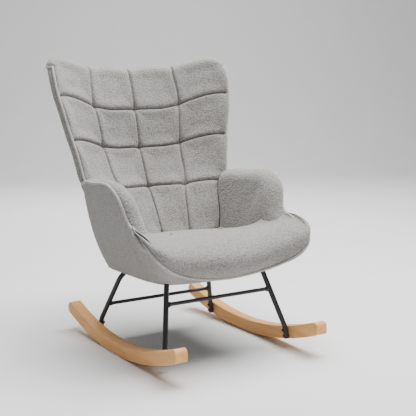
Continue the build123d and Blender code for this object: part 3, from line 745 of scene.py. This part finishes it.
def plywood(name):
    """Pale veneer whose edges show thin layers one over another."""
    made, nodes, links, shader, place = material(name)
    layers = node(nodes, "ShaderNodeTexWave", Scale=105.0, Distortion=0.6, bands_direction="Z")
    links.new(place, layers.inputs["Vector"])
    grain_at = node(nodes, "ShaderNodeMapping")
    grain_at.inputs["Scale"].default_value = (40.0, 4.0, 40.0)
    links.new(place, grain_at.inputs["Vector"])
    grain = node(nodes, "ShaderNodeTexNoise", Scale=2.0, Detail=6.0)
    links.new(grain_at.outputs["Vector"], grain.inputs["Vector"])
    sum_up = node(nodes, "ShaderNodeMath", operation="MULTIPLY_ADD")
    sum_up.inputs[1].default_value = 0.4
    links.new(layers.outputs["Fac"], sum_up.inputs[0])
    links.new(grain.outputs["Fac"], sum_up.inputs[2])
    stops = (0.3, (0.36, 0.24, 0.13)), (0.9, (0.60, 0.46, 0.30))
    colour = ramp(nodes, links, sum_up.outputs["Value"], stops)
    links.new(colour, shader.inputs["Base Color"])
    add_bump(nodes, links, shader, grain.outputs["Fac"], 0.3, 0.0004)
    shader.inputs["Roughness"].default_value = 0.6
    return made


def fine_surface(name, dark, light, roughness, metallic, scale, depth):
    """Even finish with a fine random texture, for coated, plated and moulded parts."""
    made, nodes, links, shader, place = material(name)
    speck = node(nodes, "ShaderNodeTexNoise", Scale=scale, Detail=4.0, Roughness=0.6)
    links.new(place, speck.inputs["Vector"])
    colour = ramp(nodes, links, speck.outputs["Fac"], ((0.35, dark), (0.7, light)))
    links.new(colour, shader.inputs["Base Color"])
    rub = node(nodes, "ShaderNodeMapRange")
    rub.inputs["To Min"].default_value = roughness - 0.06
    rub.inputs["To Max"].default_value = roughness + 0.08
    links.new(speck.outputs["Fac"], rub.inputs["Value"])
    links.new(rub.outputs["Result"], shader.inputs["Roughness"])
    add_bump(nodes, links, shader, speck.outputs["Fac"], 0.3, depth)
    shader.inputs["Metallic"].default_value = metallic
    return made


def woven(name, dark, light, pitch):
    """Plain woven cloth of two sets of crossing threads."""
    made, nodes, links, shader, place = material(name)
    bands = []
    for direction in ("X", "Y"):
        band = node(nodes, "ShaderNodeTexWave", Scale=0.32 / pitch, bands_direction=direction,
                    Distortion=0.4)
        links.new(place, band.inputs["Vector"])
        bands.append(band.outputs["Fac"])
    cross = node(nodes, "ShaderNodeMath", operation="MULTIPLY")
    links.new(bands[0], cross.inputs[0])
    links.new(bands[1], cross.inputs[1])
    colour = ramp(nodes, links, cross.outputs["Value"], ((0.0, dark), (0.8, light)))
    links.new(colour, shader.inputs["Base Color"])
    add_bump(nodes, links, shader, cross.outputs["Value"], 0.5, 0.0005)
    shader.inputs["Roughness"].default_value = 0.9
    return made


def paint_cad_nodes():
    """Give every CAD node that stays in view its own finish."""
    # Dark and light colour, roughness, metallic, scale and depth of the texture, nodes.
    surfaces = {
        "black_powder_coat": (
            (0.015, 0.015, 0.016), (0.030, 0.030, 0.032), 0.38, 0.0, 900.0, 0.00015,
            ("front_leg_hoop", "rear_leg_hoop", "front_crossbar", "rear_crossbar",
             "seat_mount_plates")),
        "black_oxide": (
            (0.02, 0.02, 0.02), (0.05, 0.05, 0.05), 0.35, 0.8, 1200.0, 0.0001,
            ("rocker_screws", "seat_bolts")),
        "zinc_plate": (
            (0.45, 0.46, 0.48), (0.62, 0.63, 0.65), 0.32, 1.0, 700.0, 0.0001,
            ("seat_washers", "tee_nuts", "frame_screws", "spring_clips")),
        "insert_brass": (
            (0.52, 0.36, 0.13), (0.66, 0.48, 0.2), 0.35, 1.0, 700.0, 0.0001,
            ("rocker_inserts",)),
        "spring_steel": (
            (0.16, 0.16, 0.17), (0.28, 0.28, 0.29), 0.4, 1.0, 500.0, 0.0001,
            ("seat_springs",)),
        "frame_steel": (
            (0.07, 0.07, 0.075), (0.13, 0.13, 0.135), 0.5, 0.9, 500.0, 0.0002,
            ("back_frame", "back_rails", "arm_frame_left", "arm_frame_right")),
        "black_plastic": (
            (0.012, 0.012, 0.012), (0.025, 0.025, 0.025), 0.55, 0.0, 1500.0, 0.0002,
            ("leg_end_plugs",)),
        "grey_felt": (
            (0.16, 0.16, 0.17), (0.34, 0.34, 0.35), 0.9, 0.0, 350.0, 0.0008,
            ("spring_insulator",)),
    }
    finishes = [(fine_surface(name, *look), nodes) for name, (*look, nodes) in surfaces.items()]
    finishes += [
        (beech("beech"), ("rocker_left", "rocker_right")),
        (plywood("plywood"), ("seat_frame", "front_lip_board")),
        (woven("dust_cloth", (0.010, 0.010, 0.011), (0.045, 0.045, 0.048), 0.0012),
         ("dust_cover",)),
        (woven("elastic_webbing", (0.10, 0.09, 0.08), (0.30, 0.28, 0.25), 0.002),
         ("back_webbing",)),
    ]
    for finish, names in finishes:
        for name in names:
            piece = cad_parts[name]
            piece.data.materials.clear()
            piece.data.materials.append(finish)


# ---------------------------------------------------------------- floor, light and camera
CAMERA_AZIMUTH, CAMERA_ELEVATION, CAMERA_ROLL = -30.735, 7.370, -1.260  # degrees
CAMERA_PLACE = np.array([-1.3867, -2.5036, 0.8343])
CAMERA_LENS, SENSOR = 72.71, 36.0  # millimetres


def floor_and_backdrop(finish):
    """Pale floor that sweeps up behind the chair, square to the photo's direction."""
    half, front, depth, radius, height = 14.0, -8.0, 9.0, 3.0, 12.0
    profile = [(front, 0.0), (depth - radius, 0.0)]
    for angle in np.linspace(0.1, 1.5, 14):
        profile.append((depth - radius + radius * sin(angle), radius - radius * cos(angle)))
    profile.append((depth, height))
    turn = radians(CAMERA_AZIMUTH)
    points, faces = [], []
    for y, z in profile:
        for x in (-half, half):
            points.append((x * cos(turn) - y * sin(turn), x * sin(turn) + y * cos(turn), z))
    for i in range(len(profile) - 1):
        faces.append((2 * i, 2 * i + 1, 2 * i + 3, 2 * i + 2))
    stage = new_mesh("studio_floor", np.array(points), faces)
    stage.data.materials.append(finish)


def area_light(name, place, target, size, power):
    """White rectangular light at a place, turned to a target."""
    light = bpy.data.lights.new(name, "AREA")
    light.shape = "RECTANGLE"
    light.size, light.size_y = size
    light.energy = power
    lamp = bpy.data.objects.new(name, light)
    bpy.context.scene.collection.objects.link(lamp)
    lamp.location = Vector(place)
    lamp.rotation_mode = "QUATERNION"
    lamp.rotation_quaternion = (Vector(target) - Vector(place)).to_track_quat("-Z", "Y")


def make_camera():
    """Camera fitted to the photo by its azimuth, elevation, roll, place and lens."""
    a, e, r = radians(CAMERA_AZIMUTH), radians(CAMERA_ELEVATION), radians(CAMERA_ROLL)
    back = Vector((sin(a) * cos(e), -cos(a) * cos(e), sin(e)))
    right = Vector((cos(a), sin(a), 0.0))
    up = back.cross(right)
    right, up = right * cos(r) + up * sin(r), up * cos(r) - right * sin(r)
    data = bpy.data.cameras.new("camera")
    data.lens, data.sensor_width = CAMERA_LENS, SENSOR
    camera = bpy.data.objects.new("camera", data)
    bpy.context.scene.collection.objects.link(camera)
    turned = Matrix((right, up, back)).transposed().to_4x4()
    turned.translation = Vector(CAMERA_PLACE + TO_FRAME)
    camera.matrix_world = turned
    bpy.context.scene.camera = camera


def light_studio():
    """Even white surroundings, a large light overhead and a small one on the backdrop."""
    world = bpy.data.worlds.new("studio")
    world.use_nodes = True
    background = world.node_tree.nodes["Background"]
    background.inputs["Color"].default_value = (1.0, 1.0, 1.0, 1.0)
    background.inputs["Strength"].default_value = 0.26
    bpy.context.scene.world = world
    area_light("overhead", (0.75, 0.0, 3.5), (0.0, 0.1, 0.4), (3.4, 3.4), 420.0)
    area_light("backdrop", (1.2, 3.0, 3.4), (3.2, 6.4, 0.9), (3.0, 1.5), 230.0)


def plain_floor(name):
    """Matt, nearly even pale grey."""
    made, nodes, links, shader, place = material(name)
    speck = node(nodes, "ShaderNodeTexNoise", Scale=3.0, Detail=2.0)
    links.new(place, speck.inputs["Vector"])
    stops = (0.3, (0.78, 0.78, 0.78)), (0.7, (0.80, 0.80, 0.80))
    links.new(ramp(nodes, links, speck.outputs["Fac"], stops), shader.inputs["Base Color"])
    shader.inputs["Roughness"].default_value = 0.8
    shader.inputs["Specular IOR Level"].default_value = 0.2
    return made


# ---------------------------------------------------------------- the upholstery, put together
def upholster():
    """Pads, piping and dark tubes of painted shade, with what each one rides on and replaces."""
    cloth = boucle("boucle", (0.325, 0.313, 0.292), (0.196, 0.187, 0.174))
    cord_cloth = boucle("boucle_piping", (0.54, 0.52, 0.49), (0.36, 0.345, 0.325), curl=300.0)
    pads = [
        (tufted_back(), ("back_pad",), 0.8),
        (back_shell(), ("back_cover",), 0.9),
        (outer_shell(), ("lower_shell",), 0.9),
        (seat_cushion(), ("seat_cushion",), 0.8),
        (arm_pad("arm_pad_left", 1), ("arm_inner_pad_left", "arm_outer_pad_left"), 0.8),
        (arm_pad("arm_pad_right", -1), ("arm_inner_pad_right", "arm_outer_pad_right"), 0.8),
    ]
    for piece, nodes, fill in pads:
        nap(piece)
        piece.data.materials.append(cloth)
        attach(piece, "root")
        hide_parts(*nodes)
    top = seam_height(1.0, np.array(4.0))
    over = roll_over(np.ones(8), np.linspace(0.15, 1, 8))
    wing = np.concatenate([wing_edge(np.linspace(0.565, top - 0.004, 40)), over])
    wing = wing + np.array([0.002, -0.002, 0])
    seat = resample(RIM[: RIM_ARM_START + 1], 60)
    corner = smoothstep(0.78, 0.95, chord(seat))[:, None]
    seat = seat + rim_outward(seat) * (0.004 - 0.006 * corner) + np.array([0, 0, 0.004]) * corner
    arm = resample(RIM[RIM_ARM_START : RIM_ARM_END + 1], 50) + np.array([0.002, 0, 0])
    lines = {
        "piping_seat": np.concatenate([mirrored(seat[:0:-1]), seat]),
        "piping_arm_left": arm,
        "piping_arm_right": mirrored(arm),
        "piping_wing_left": wing,
        "piping_wing_right": mirrored(wing),
    }
    # Near-black tubes along the creases between the arms and the back: painted shade in those
    # creases.
    shade_cloth = woven("painted_shade_cloth", (0.020, 0.020, 0.020), (0.055, 0.054, 0.052), 0.0012)
    gaps = {"gap_painted_shade_left": ARM_GAP, "gap_painted_shade_right": mirrored(ARM_GAP)}
    for name, path in gaps.items():
        piece = tube(name, path, ARM_GAP_R)
        piece.data.materials.append(shade_cloth)
        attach(piece, "root")
    for name, path in lines.items():
        piece = tube(name, path, PIPING_R)
        piece.data.materials.append(cord_cloth)
        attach(piece, "root")


paint_cad_nodes()
upholster()
make_camera()
light_studio()
floor_and_backdrop(plain_floor("pale_floor"))
